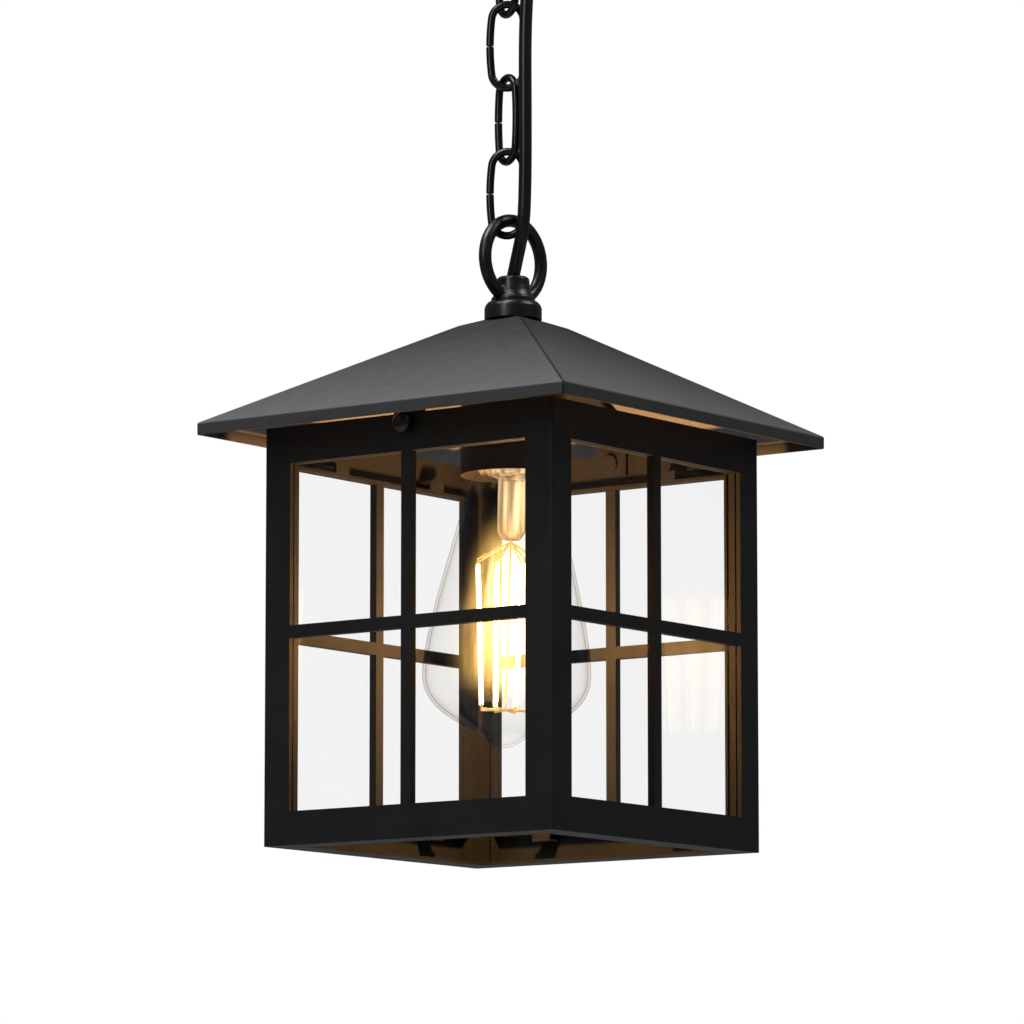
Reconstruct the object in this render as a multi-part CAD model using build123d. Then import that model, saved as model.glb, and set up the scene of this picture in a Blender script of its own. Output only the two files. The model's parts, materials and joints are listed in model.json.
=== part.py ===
from build123d import *
from math import atan2, cos, pi, radians, sin, sqrt, tan
import os

# A square hanging lantern: a glazed steel frame under a hipped roof, a screw lamp inside,
# a cast loop on top, four open chain links, and a ceiling canopy that the chain hangs from.
# Millimetres. +Z is up. The origin is the middle of the canopy's top face, on the ceiling,
# so the whole lantern is below it. The front face is -Y.

# ---------------------------------------------------------------- driving dimensions
BODY_WIDTH = 134.0  # outside of the glazed frame, square in plan
STILE = 12.1  # visible width of a corner post on each face
RAIL = 12.8  # height of the bottom rail
WINDOW_TOP = 144.3  # top of the window openings above the bottom rim
FRAME_TOP = 158.4  # top edge of the frame above the bottom rim, just under the roof
TRANSOM = (78.0, 82.8)  # bottom and top of the cross bar above the bottom rim
BAR_WIDTH = 4.6  # width of the upright glazing bar
BAR_DEPTH = 3.2
RETURN = 5.4  # how far the sheet turns in round each window, to the glass
SHEET = 1.2  # steel sheet of the frame
GLASS = 2.0

ROOF_WIDTH = 171.0
EAVE = 160.2  # top of the fascia above the bottom rim
FASCIA = 4.7
ROOF_SLOPE = 29.4  # degrees, of the four main faces
BREAK_HALF = 15.2  # half width where the shallower crown starts
CROWN_HALF = 8.2  # half width of the flat top under the collar
CROWN_TOP = 202.4  # top of the crown above the bottom rim
ROOF_SHEET = 1.0

LOOP_WIRE = 4.9  # cast ring of a loop
LOOP_RADIUS = 15.4  # centreline of that ring
HUB_BELOW = 16.2  # from the ring's centre down to the hub's seat
HUB_ABOVE = 6.5  # from the ring's centre down to the hub's cord mouth
LOOP_TURN = 82.6  # the ring's plane about Z, degrees from +X

LINK_WIRE = 3.0
LINK_LENGTH = 35.7  # outside
LINK_WIDTH = 16.4  # outside
LINK_END_RADIUS = 6.1  # centreline radius of the rounded ends
LINK_TURNS = (-24.0, 30.0, -23.0, 27.0)  # plane of each link about Z, from the top one down
LINK_GRIP = 3.9  # wire axis to wire axis, one link in the next
LOOP_GRIP_TOP = 4.6  # canopy ring's wire axis to the top link's
LOOP_GRIP_BOTTOM = 5.8  # lowest link's wire axis to the lantern ring's
CHAIN_OFFSET = 3.2  # the cord holds the chain this far along the rings, off their middle

CORD = 5.0  # round lamp cord
CANOPY_WIDTH = 110.0
CANOPY_HEIGHT = 24.0
PIPE = 9.6  # threaded pipe that the loops, the roof and the socket share, outside
PIPE_BORE = 6.4

STRAP_HEIGHT = 191.0  # top of the bar that bridges the roof
STRAP_WIDTH = 14.0
STRAP_SHEET = 1.5
STUD_HEIGHT = 154.6  # studs and cap nuts, on the strap's bent ends
STUD = 4.0  # diameter
NOTCH = 4.6  # width of the open slot for the stud in a top rail
CAP_NUT = 7.6  # diameter
CAP_NUT_LENGTH = 5.0

BULB_WIDTH = 64.0
BULB_TIP = 38.6  # lowest point of the glass above the bottom rim
BULB_WIDEST = 66.0  # height of the widest place above the bottom rim
BULB_NECK = 145.0  # where the glass enters its screw cap
NECK_RADIUS = 11.8
GLASS_WALL = 1.0
LAMP_CAP = 26.4  # crests of the screw cap
CAP_TOP = BULB_NECK + 26.0
STEM_TOP = BULB_NECK - 1.0
STEM_FOOT = 118.0
FILAMENT = 1.6  # diameter of a filament stick
FILAMENT_FOOT = (10.0, 55.0)  # radius and height of a stick's lower end
FILAMENT_HEAD = (13.2, 107.5)  # and of its upper end
FILAMENTS = 8
LEAD = 0.7  # diameter of the lamp's inner wires
GLASS_LEAN = 1.8  # degrees that the glass and all in it lean in the screw cap
GLASS_LEAN_TOWARDS = 216.4  # degrees from +X, the way its tip leans

SOCKET_WIDTH = 40.0
SOCKET_MOUTH = 142.6  # lower edge of the socket cup above the bottom rim
SOCKET_TOP = 188.4
HOLDER_MOUTH = 147.5

BOX_SCREW_SPACING = 70.0  # screws that hold the crossbar to the ceiling box
FIT = 0.05  # radial clearance of a running fit
GAP = 0.15  # clearance of a bolted joint
LAP = 3.0  # of a pane behind its frame

# ---------------------------------------------------------------- worked-out places
half = BODY_WIDTH / 2
roof_half = ROOF_WIDTH / 2
window_half = half - STILE

hub_seat_height = CROWN_TOP + 7.1  # the collar is 7.1 tall
ring_height = hub_seat_height + HUB_BELOW
link_reach = LINK_LENGTH - LINK_WIRE  # from wire axis to wire axis along a link
link_step = link_reach - LINK_GRIP
# where the chain crosses a ring, the round wire is this much nearer the ring's centre
ring_rise = LOOP_RADIUS - sqrt(LOOP_RADIUS**2 - CHAIN_OFFSET**2)
lowest_link_foot = ring_height + LOOP_RADIUS - ring_rise - LOOP_GRIP_BOTTOM
top_link_head = lowest_link_foot + 3 * link_step + link_reach
canopy_ring_height = top_link_head - LOOP_GRIP_TOP - ring_rise + LOOP_RADIUS
canopy_bottom_height = canopy_ring_height + HUB_BELOW
ceiling_height = canopy_bottom_height + CANOPY_HEIGHT
rim_z = -ceiling_height  # the bottom rim of the lantern in the part's own frame

ring_along = (cos(radians(LOOP_TURN)), sin(radians(LOOP_TURN)))
chain_x = -CHAIN_OFFSET * ring_along[0]
chain_y = -CHAIN_OFFSET * ring_along[1]

# The cord's route: up out of the lantern hub, through its ring, beside the chain and into
# the canopy hub. Heights are above the bottom rim.
CORD_ROUTE = [
    (0.0, 0.0, 219.4),
    (2.8, -1.3, 226.0),
    (8.3, -4.5, 237.2),
    (9.6, -5.2, 255.0),
    (10.4, -6.2, 281.0),
    (10.4, -6.5, 310.0),
    (10.2, -4.6, 332.0),
    (8.8, -1.8, 347.5),
    (2.2, -0.1, 362.5),
    (0.0, 0.0, 370.8),
]
CORD_CUTS = (248.7, 278.9, 309.1, 339.3)  # heights where one cord span meets the next

os.makedirs("parts", exist_ok=True)
nodes = {}


def node(name, *solids):
    """Keep one named piece, or several identical ones, for export."""
    shape = solids[0] if len(solids) == 1 else Compound(children=[s for s in solids])
    nodes[name] = shape
    return shape


def at(height):
    """A height above the bottom rim, as Z in the part's frame."""
    return rim_z + height


def tube(outer, inner, low, high):
    """A round sleeve on the Z axis between two heights."""
    length = high - low
    place = Pos(0, 0, at(low) + length / 2)
    return place * (Cylinder(outer, length) - Cylinder(inner, length))


def block(low, high):
    """A box between two corners given as (x, y, height above the rim)."""
    size = [b - a for a, b in zip(low, high)]
    middle = [(a + b) / 2 for a, b in zip(low, high)]
    return Pos(middle[0], middle[1], at(middle[2])) * Box(*size)


def four(shape):
    """The shape on each face of the square, by quarter turns: front, right, back, left."""
    return [Rot(0, 0, 90 * k) * shape for k in range(4)]


def turned(profile):
    """Revolve an outline of (radius, z) points about Z."""
    return revolve(make_face(Plane.XZ * Polyline(*profile, close=True)), Axis.Z)


FACES = ("front", "right", "back", "left")
CORNERS = ("front_left", "front_right", "back_right", "back_left")


# ---------------------------------------------------------------- frame
def corner_post():
    """Folded corner angle with a return round each window, and a square foot (front left)."""
    x, s, w, r = -half, SHEET, STILE, RETURN
    outline = [
        (x, x),
        (x + w, x),
        (x + w, x + r),
        (x + w - s, x + r),
        (x + w - s, x + s),
        (x + s, x + s),
        (x + s, x + w - s),
        (x + r, x + w - s),
        (x + r, x + w),
        (x, x + w),
    ]
    post = extrude(make_face(Polyline(*outline, close=True)), FRAME_TOP)
    foot = Pos(x + w / 2, x + w / 2, s / 2) * Box(w, w, s)
    post = Pos(0, 0, at(0)) * (post + foot)
    upright = post.edges().filter_by(Axis.Z)
    outer_edge = min(upright, key=lambda edge: edge.center().X + edge.center().Y)
    return fillet(outer_edge, 0.8)


def rail(profile):
    """A folded rail along the front face, from (depth behind the face, height) points."""
    points = [(0, -half + depth, at(height)) for depth, height in profile]
    face = make_face(Polyline(*points, close=True))
    return extrude(face, amount=window_half, dir=(1, 0, 0), both=True)


def bottom_rail():
    """Face strip with a flange turned in at the rim and a sill turned in under the glass."""
    s, w, top = SHEET, STILE, RAIL
    flange = [(0, 0), (w, 0), (w, s), (s, s)]
    sill = [(s, top - s), (RETURN, top - s), (RETURN, top), (0, top)]
    return rail(flange + sill)


def top_rail():
    """Face strip over the window, with its lower edge turned in to the glass."""
    s, low, top = SHEET, WINDOW_TOP, FRAME_TOP
    profile = [(0, low), (RETURN, low), (RETURN, low + s), (s, low + s), (s, top), (0, top)]
    return rail(profile)


def glazing_cross():
    """Upright bar and cross bar of one window, flush with the front face."""
    front = -half
    upright = block((-BAR_WIDTH / 2, front, RAIL), (BAR_WIDTH / 2, front + BAR_DEPTH, WINDOW_TOP))
    cross = block((-window_half, front, TRANSOM[0]), (window_half, front + BAR_DEPTH, TRANSOM[1]))
    return upright + cross


def glass_pane():
    """Clear pane that lies on the returns from inside."""
    front = -half + RETURN
    low = (-window_half - LAP, front, RAIL - LAP)
    high = (window_half + LAP, front + GLASS, WINDOW_TOP + LAP)
    return block(low, high)


def glass_clip(across, edge, outward):
    """L-shaped spring tab on a rail that holds the pane's upper or lower edge.

    outward is 1 over the pane's upper edge and -1 under its lower one.
    """
    thick, wide = 0.8, 8.0
    back = -half + RETURN + GLASS
    near, far = edge + 0.5 * outward, edge + (0.5 + thick) * outward
    lip = edge - 2.4 * outward  # short enough to hide behind the rail
    left, right = across - wide / 2, across + wide / 2
    leg = block((left, -half + SHEET, min(near, far)), (right, back + thick, max(near, far)))
    hook = block((left, back, min(lip, far)), (right, back + thick, max(lip, far)))
    return leg + hook


def notched_top_rail():
    """Top rail with a slot open at the top, so that the frame drops off the roof's studs."""
    slot = block((-NOTCH / 2, -half - 1, STUD_HEIGHT), (NOTCH / 2, -half + SHEET + 1, FRAME_TOP + 1))
    round_end = Pos(0, -half, at(STUD_HEIGHT)) * Rot(90, 0, 0) * Cylinder(NOTCH / 2, 4 * SHEET)
    return top_rail() - slot - round_end


def make_frame():
    for name, shape in zip(CORNERS, four(corner_post())):
        node(f"post_{name}", shape)
    top_rails = [
        Rot(0, 0, 90 * k) * (notched_top_rail() if k % 2 == 0 else top_rail()) for k in range(4)
    ]
    for k, name in enumerate(FACES):
        turn = Rot(0, 0, 90 * k)
        node(f"bottom_rail_{name}", turn * bottom_rail())
        node(f"top_rail_{name}", top_rails[k])
        node(f"glazing_bars_{name}", turn * glazing_cross())
        node(f"glass_{name}", turn * glass_pane())
    ends = ((RAIL - LAP, -1), (WINDOW_TOP + LAP, 1))
    clips = [glass_clip(x, edge, outward) for x in (-30.0, 30.0) for edge, outward in ends]
    node("glass_clips", *[turned_clip for clip in clips for turned_clip in four(clip)])


# ---------------------------------------------------------------- roof
def pyramid(low_half, low, high_half, high):
    """Square frustum between two heights."""
    bottom = Pos(0, 0, at(low)) * Rectangle(2 * low_half, 2 * low_half)
    top = Pos(0, 0, at(high)) * Rectangle(2 * high_half, 2 * high_half)
    return loft([bottom, top])


def roof_shell():
    """Hipped sheet roof with a shallower crown and an upright fascia, open underneath."""
    slope = tan(radians(ROOF_SLOPE))
    break_height = EAVE + (roof_half - BREAK_HALF) * slope
    drop = ROOF_SHEET / cos(radians(ROOF_SLOPE))  # sheet thickness measured straight down
    inner_half = roof_half - ROOF_SHEET
    inner_eave = EAVE + ROOF_SHEET * slope - drop
    outer = pyramid(roof_half, EAVE, BREAK_HALF, break_height)
    outer += pyramid(BREAK_HALF, break_height, CROWN_HALF, CROWN_TOP)
    outer += block((-roof_half, -roof_half, EAVE - FASCIA), (roof_half, roof_half, EAVE))
    inner = pyramid(inner_half, inner_eave, BREAK_HALF, break_height - drop)
    inner += pyramid(BREAK_HALF, break_height - drop, CROWN_HALF, CROWN_TOP - drop)
    inner += block((-inner_half, -inner_half, EAVE - FASCIA - 1), (inner_half, inner_half, inner_eave))
    return outer - inner - Pos(0, 0, at(CROWN_TOP)) * Cylinder(PIPE / 2 + GAP, 20)


def roof_strap():
    """Flat bar bridging the roof from front to back, with ends bent down inside the frame."""
    t, w = STRAP_SHEET, STRAP_WIDTH
    reach = half - SHEET - GAP
    knee_y, knee_h = 22.0, STRAP_HEIGHT
    foot_top, foot_low = 168.0, STUD_HEIGHT - 5.0
    outline = [
        (-reach, foot_low),
        (-reach, foot_top),
        (-knee_y, knee_h),
        (knee_y, knee_h),
        (reach, foot_top),
        (reach, foot_low),
        (reach - t, foot_low),
        (reach - t, foot_top - t / 2),
        (knee_y - t / 2, knee_h - t),
        (t / 2 - knee_y, knee_h - t),
        (t - reach, foot_top - t / 2),
        (t - reach, foot_low),
    ]
    face = make_face(Polyline(*[(0, y, at(h)) for y, h in outline], close=True))
    strap = extrude(face, amount=w / 2, dir=(1, 0, 0), both=True)
    strap -= Pos(0, 0, at(knee_h)) * Cylinder(PIPE / 2 + GAP, 10)
    for y in (-reach, reach):
        strap -= Pos(0, y, at(STUD_HEIGHT)) * Rot(90, 0, 0) * Cylinder(STUD / 2 + FIT, 8)
    return strap


def stud():
    """Short stud through the strap's foot and the front rail's slot."""
    inner_y = -half + SHEET + GAP + STRAP_SHEET
    shank = inner_y + half + 3.4
    head = Pos(0, inner_y + 0.6, at(STUD_HEIGHT)) * Rot(90, 0, 0) * Cylinder(3.2, 1.2)
    pin = Pos(0, inner_y - shank / 2, at(STUD_HEIGHT)) * Rot(90, 0, 0) * Cylinder(STUD / 2, shank)
    return head + pin


def cap_nut():
    """Blind domed nut on the stud, standing on the front rail."""
    r, length, bore, depth = CAP_NUT / 2, CAP_NUT_LENGTH, STUD / 2 + FIT, 3.9
    dome = [(r, length - 1.6), (r - 0.5, length - 0.7), (r - 1.6, length), (0, length)]
    body = turned([(bore, 0), (r, 0), *dome, (0, depth), (bore, depth)])
    return Pos(0, -half - FIT, at(STUD_HEIGHT)) * Rot(90, 0, 0) * body


def make_roof():
    node("roof_shell", roof_shell())
    node("roof_strap", roof_strap())
    node("frame_studs", stud(), Rot(0, 0, 180) * stud())
    node("cap_nut_front", cap_nut())
    node("cap_nut_back", Rot(0, 0, 180) * cap_nut())


# ---------------------------------------------------------------- loops and threaded pipe
def loop_casting():
    """Ring and hollow flared hub in one casting, with the ring's centre at the origin."""
    mouth, seat = -HUB_ABOVE, -HUB_BELOW
    cord_way, pipe_way = CORD / 2 + 1.2, PIPE / 2 + GAP
    flare = [(5.4, 0), (6.2, -0.8), (6.4, -3.4), (6.9, -5.8), (7.9, -7.9), (8.4, -8.2)]
    hub = turned([(0, mouth), *[(r, mouth + z) for r, z in flare], (8.4, seat), (0, seat)])
    ring = Rot(0, 0, LOOP_TURN) * Rot(90, 0, 0) * Torus(LOOP_RADIUS, LOOP_WIRE / 2)
    casting = ring + hub
    casting -= Pos(0, 0, seat - 5) * Box(60, 60, 10)
    casting -= Pos(0, 0, (mouth + seat) / 2) * Cylinder(cord_way, mouth - seat + 6)
    return casting - Pos(0, 0, seat) * Cylinder(pipe_way, 3.6)


def cord_bushing():
    """Tapered flexible sleeve that the cord passes through at a hub's mouth."""
    outer, inner = CORD / 2 + 1.15, CORD / 2
    deep, proud = -5.5, 0.4
    return turned([(inner, deep), (outer, deep), (outer, 0), (inner + 0.5, proud), (inner, proud)])


def pipe(low, high):
    """Threaded pipe, shown as a plain sleeve at its crest diameter."""
    return tube(PIPE / 2, PIPE_BORE / 2, low, high)


def hex_nut(low, across, thick):
    hexagon = extrude(RegularPolygon(across / 2, 6, major_radius=False), thick)
    hexagon -= Pos(0, 0, thick / 2) * Cylinder(PIPE / 2 + FIT, 2 * thick)
    return Pos(0, 0, at(low)) * hexagon


def make_collar_and_loop():
    low, high = CROWN_TOP, hub_seat_height
    bore = PIPE / 2 + GAP
    collar = turned(
        [
            (bore, at(low)),
            (11.0, at(low)),
            (11.0, at(high) - 2.6),
            (10.5, at(high) - 1.2),
            (9.4, at(high)),
            (bore, at(high)),
        ]
    )
    node("roof_collar", collar)
    node("lantern_loop", Pos(0, 0, at(ring_height)) * loop_casting())
    node("lantern_bushing", Pos(0, 0, at(ring_height - HUB_ABOVE)) * cord_bushing())
    node("threaded_pipe", pipe(SOCKET_TOP - 4.0, hub_seat_height + 1.6))
    node("strap_lock_nut", hex_nut(STRAP_HEIGHT, 14.0, 3.0))
    strap_under = STRAP_HEIGHT - STRAP_SHEET
    node("strap_washer", tube(8.0, PIPE / 2 + FIT, strap_under - 1.0, strap_under))


# ---------------------------------------------------------------- lamp holder and lamp
def make_holder():
    r, wall = SOCKET_WIDTH / 2, 0.8
    neck = PIPE / 2 + FIT
    low, high = at(SOCKET_MOUTH), at(SOCKET_TOP)
    cup = turned(
        [
            (r - wall, low),
            (r, low),
            (r, high - 6),
            (r - 2.0, high - 2),
            (r - 6.0, high),
            (neck, high),
            (neck, high - wall),
            (r - 6.3, high - wall),
            (r - 2.7, high - 2.6),
            (r - wall, high - 6.2),
        ]
    )
    node("socket_cup", cup)
    body_r, bore_r = 16.6, LAMP_CAP / 2 + 0.9
    body_low, body_high, floor = at(HOLDER_MOUTH), at(SOCKET_TOP - 7.0), at(CAP_TOP + 4.0)
    body = turned(
        [
            (bore_r, body_low),
            (body_r, body_low),
            (body_r, body_high - 3),
            (body_r - 3, body_high),
            (0, body_high),
            (0, floor),
            (bore_r, floor),
        ]
    )
    node("socket_body", body)
    shell = turned(
        [
            (bore_r - 0.6, body_low + 2),
            (bore_r, body_low + 2),
            (bore_r, floor - 1),
            (bore_r - 3.0, floor - 1),
            (bore_r - 3.0, floor - 1.6),
            (bore_r - 0.6, floor - 1.6),
        ]
    )
    node("socket_screw_shell", shell)
    spring_leaf = block((-6.0, -2.5, CAP_TOP + 3.4), (6.0, 2.5, CAP_TOP + 4.0))
    contact_pad = block((-2.5, -2.5, CAP_TOP + 0.9), (2.5, 2.5, CAP_TOP + 3.4))
    node("socket_contact", spring_leaf + contact_pad)


def bulb_solid(inset):
    """Pear of the lamp's glass, drawn in by inset from its outside."""
    wide, neck = BULB_WIDTH / 2 - inset, NECK_RADIUS - inset
    shoulder = (18.1 - inset, BULB_NECK - 12.0)
    nub = (11.5 - 0.6 * inset, 44.7 + 0.8 * inset)  # where the pear gives way to its small tip
    top, tip = BULB_NECK + 3.0, BULB_TIP + inset
    curves = [
        [(neck, top), (neck, top - 4.2), (neck + 5.7, top - 5.4), shoulder],
        [shoulder, (shoulder[0] + 4.5, 113.0), (wide, BULB_WIDEST + 16.0), (wide, BULB_WIDEST)],
        [(wide, BULB_WIDEST), (wide, BULB_WIDEST - 11.0), (22.0 - inset, 49.5 + inset), nub],
        [nub, (8.0 - inset, 43.1 + inset), (5.0, tip), (0, tip)],
    ]
    edges = [Bezier(*[(r, 0, at(height)) for r, height in curve]) for curve in curves]
    edges += [Line((0, 0, at(tip)), (0, 0, at(top))), Line((0, 0, at(top)), (neck, 0, at(top)))]
    return revolve(make_face(edges), Axis.Z)


def leaning(shape):
    """The shape tipped about the mouth of the screw cap, as the lamp's glass is set in it."""
    mouth, turn = Pos(0, 0, at(BULB_NECK)), Rot(0, 0, GLASS_LEAN_TOWARDS)
    return mouth * turn * Rot(0, -GLASS_LEAN, 0) * turn.inverse() * mouth.inverse() * shape


def screw_cap():
    """Ribbed screw cap of the lamp, hollow, on the glass neck."""
    low, high, r = at(BULB_NECK + 1.4), at(CAP_TOP) - 2.6, LAMP_CAP / 2
    skirt, pitch, ribs, groove, wall = 2.0, 3.6, 5, 0.9, 0.8
    outline = [(r - 1.0, low), (r, low), (r, low + skirt)]
    for k in range(ribs):
        z = low + skirt + pitch * k
        outline += [(r - groove, z + pitch / 4), (r, z + pitch / 2), (r, z + 0.75 * pitch)]
    last = outline[-1][1]
    outline += [(r - groove, last + 0.9), (r - 4.5, high), (5.0, high), (5.0, high - wall)]
    outline += [(r - 4.9, high - wall), (r - groove - wall, last + 0.5)]
    return turned(outline + [(r - groove - wall, low + skirt + 1), (r - 1.0, low + skirt)])


def lead(*points):
    """A thin round wire through the points, with a ball at each bend."""
    corners = [Vector(*p) for p in points]
    wire = Pos(corners[0]) * Sphere(LEAD / 2)
    for start, end in zip(corners, corners[1:]):
        run = end - start
        wire += extrude(Plane(origin=start, z_dir=run) * Circle(LEAD / 2), run.length)
        wire += Pos(end) * Sphere(LEAD / 2)
    return wire


def make_filaments():
    """Upright filament sticks in a crown, with the wires that carry them from the stem."""
    (foot_r, foot_h), (head_r, head_h) = FILAMENT_FOOT, FILAMENT_HEAD
    foot, head = Vector(foot_r, 0, at(foot_h)), Vector(head_r, 0, at(head_h))
    along = (head - foot).normalized()
    stick = extrude(Plane(origin=foot, z_dir=along) * Circle(FILAMENT / 2), (head - foot).length)
    tail = 1.4  # bare wire past each end of a stick
    below, above = foot - along * (tail + LEAD), head + along * (tail + LEAD)
    hub = Vector(0, 0, below.Z)
    crown = Vector(0, 0, at(STEM_FOOT - 1.0))
    foot_end = foot - along * LEAD / 2
    head_end = head + along * LEAD / 2
    carrier = extrude(Plane(origin=hub) * Circle(LEAD / 2), at(STEM_FOOT) - hub.Z)
    sticks = []
    for k in range(FILAMENTS):
        turn = Rot(0, 0, 15 + 360 / FILAMENTS * k)
        sticks.append(turn * stick)
        carrier += turn * (lead(hub, below, foot_end) + lead(crown, above, head_end))
    node("bulb_filaments", *[leaning(one) for one in sticks])
    node("bulb_wires", leaning(carrier))


def make_lamp():
    node("bulb_glass", leaning(bulb_solid(0) - bulb_solid(GLASS_WALL)))
    node("bulb_screw_cap", screw_cap())
    high = at(CAP_TOP)
    insulator = [(0, high - 2.6), (7.5, high - 2.6), (5.2, high - 0.8), (0, high - 0.8)]
    node("bulb_insulator", turned(insulator))
    tip_contact = [(0, high - 0.8), (4.2, high - 0.8), (3.2, high + 0.6), (0, high + 0.6)]
    node("bulb_tip_contact", turned(tip_contact))
    flare_radius = NECK_RADIUS - GLASS_WALL - FIT
    flare = [(0, STEM_TOP), (flare_radius, STEM_TOP), (flare_radius - 1, STEM_TOP - 1.5)]
    column = [(5.6, STEM_TOP - 3.0), (5.4, STEM_FOOT + 3.0), (3.6, STEM_FOOT), (0, STEM_FOOT)]
    node("bulb_stem", leaning(turned([(r, at(height)) for r, height in flare + column])))
    make_filaments()


# ---------------------------------------------------------------- chain
def link_shape():
    """Open oval link in the XZ plane about the origin, with its butt gap on the -X side."""
    a = (LINK_WIDTH - LINK_WIRE) / 2
    b = link_reach / 2
    r = LINK_END_RADIUS
    side = ((b - r) ** 2 + a**2 - r**2) / (2 * (a - r))
    open_half = 0.2
    end_x = -(side - sqrt(side**2 - open_half**2)) + a

    def on_side(angle, sign):
        return (sign * (a - side + side * cos(angle)), 0, side * sin(angle))

    lean = atan2(b - r, side - a)
    sweep_path = (
        ThreePointArc((-end_x, 0, open_half), on_side(lean / 2, -1), on_side(lean, -1))
        + ThreePointArc(on_side(lean, -1), (0, 0, b), on_side(lean, 1))
        + ThreePointArc(on_side(lean, 1), (a, 0, 0), on_side(-lean, 1))
        + ThreePointArc(on_side(-lean, 1), (0, 0, -b), on_side(-lean, -1))
        + ThreePointArc(on_side(-lean, -1), on_side(-lean / 2, -1), (-end_x, 0, -open_half))
    )
    wire = Wire(sweep_path.edges())
    section = Plane(origin=wire @ 0, z_dir=wire % 0) * Circle(LINK_WIRE / 2)
    return sweep(section, path=wire)


def make_chain():
    link = link_shape()
    for k, turn in enumerate(LINK_TURNS):
        middle = lowest_link_foot + link_reach / 2 + (len(LINK_TURNS) - 1 - k) * link_step
        node(f"link_{k + 1}", Pos(chain_x, chain_y, at(middle)) * Rot(0, 0, turn) * link)


# ---------------------------------------------------------------- ceiling end
def make_canopy():
    r, h, t = CANOPY_WIDTH / 2, CANOPY_HEIGHT, 1.0
    bore = PIPE / 2 + GAP
    low = canopy_bottom_height
    dish = turned(
        [
            (r, 0),
            (r, -3.0),
            (r - 4.0, -9.0),
            (r - 20.0, -h + 4.0),
            (16.0, -h),
            (bore, -h),
            (bore, -h + t),
            (16.2, -h + t),
            (r - 20.3, -h + 4.95),
            (r - 4.7, -8.4),
            (r - t, -2.8),
            (r - t, 0),
        ]
    )
    node("canopy", dish)
    # the same casting upside down: mirrored, its ring keeps the lantern ring's direction
    upside_down = Pos(0, 0, at(canopy_ring_height)) * mirror(loop_casting(), Plane.XY)
    node("canopy_loop", upside_down)
    bushing = mirror(cord_bushing(), Plane.XY)
    node("canopy_bushing", Pos(0, 0, at(canopy_ring_height + HUB_ABOVE)) * bushing)
    node("canopy_pipe", pipe(low - 1.6, ceiling_height - 4.0))
    node("canopy_lock_nut", hex_nut(low + t, 14.0, 3.0))
    reach, bar_w, bar_t = 46.0, 18.0, 2.0
    bar = block((-reach, -bar_w / 2, ceiling_height - bar_t), (reach, bar_w / 2, ceiling_height))
    bar -= Cylinder(PIPE / 2 + GAP, 20)
    bar += tube(PIPE / 2 + 2.2, PIPE / 2 + FIT, ceiling_height - 8.0, ceiling_height - bar_t)
    for x in (-BOX_SCREW_SPACING / 2, BOX_SCREW_SPACING / 2):
        bar -= Pos(x, 0, 0) * Cylinder(2.2, 20)
    node("canopy_crossbar", bar)


def cord_wire():
    """The cord's centreline: straight runs joined by arcs as large as the runs allow."""
    points = [Vector(x, y, at(h)) for x, y, h in CORD_ROUTE]
    radii = []
    for before, here, after in zip(points, points[1:], points[2:]):
        one, two = here - before, after - here
        turn = radians(one.get_angle(two))
        radii.append(0.45 * min(one.length, two.length) / tan(turn / 2))
    print("cord arc radii:", [round(r, 1) for r in radii])
    return FilletPolyline(*points, radius=radii)


def make_cord():
    line = cord_wire()
    wire = Wire(line.edges())
    section = Plane(origin=wire @ 0, z_dir=wire % 0) * Circle(CORD / 2)
    whole = sweep(section, path=wire)
    expected = pi * CORD**2 / 4 * wire.length
    print(f"cord length {wire.length:.1f}, volume {whole.volume:.0f}, section x length {expected:.0f}")
    levels = [CORD_ROUTE[0][2] - 5, *CORD_CUTS, CORD_ROUTE[-1][2] + 5]
    for k, (low, high) in enumerate(zip(levels, levels[1:])):
        span = whole & block((-40, -40, low), (40, 40, high))
        node(f"cord_span_{len(levels) - 1 - k}", span)


make_frame()
make_roof()
make_holder()
make_collar_and_loop()
make_lamp()
make_chain()
make_canopy()
make_cord()

for name, shape in nodes.items():
    export_step(shape, f"parts/{name}.step")
print(len(nodes), "nodes; bottom rim at z =", round(rim_z, 2))
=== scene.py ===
import json
from math import atan2, cos, pi, radians, sin

import bmesh
import bpy
from mathutils import Matrix, Vector

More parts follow.
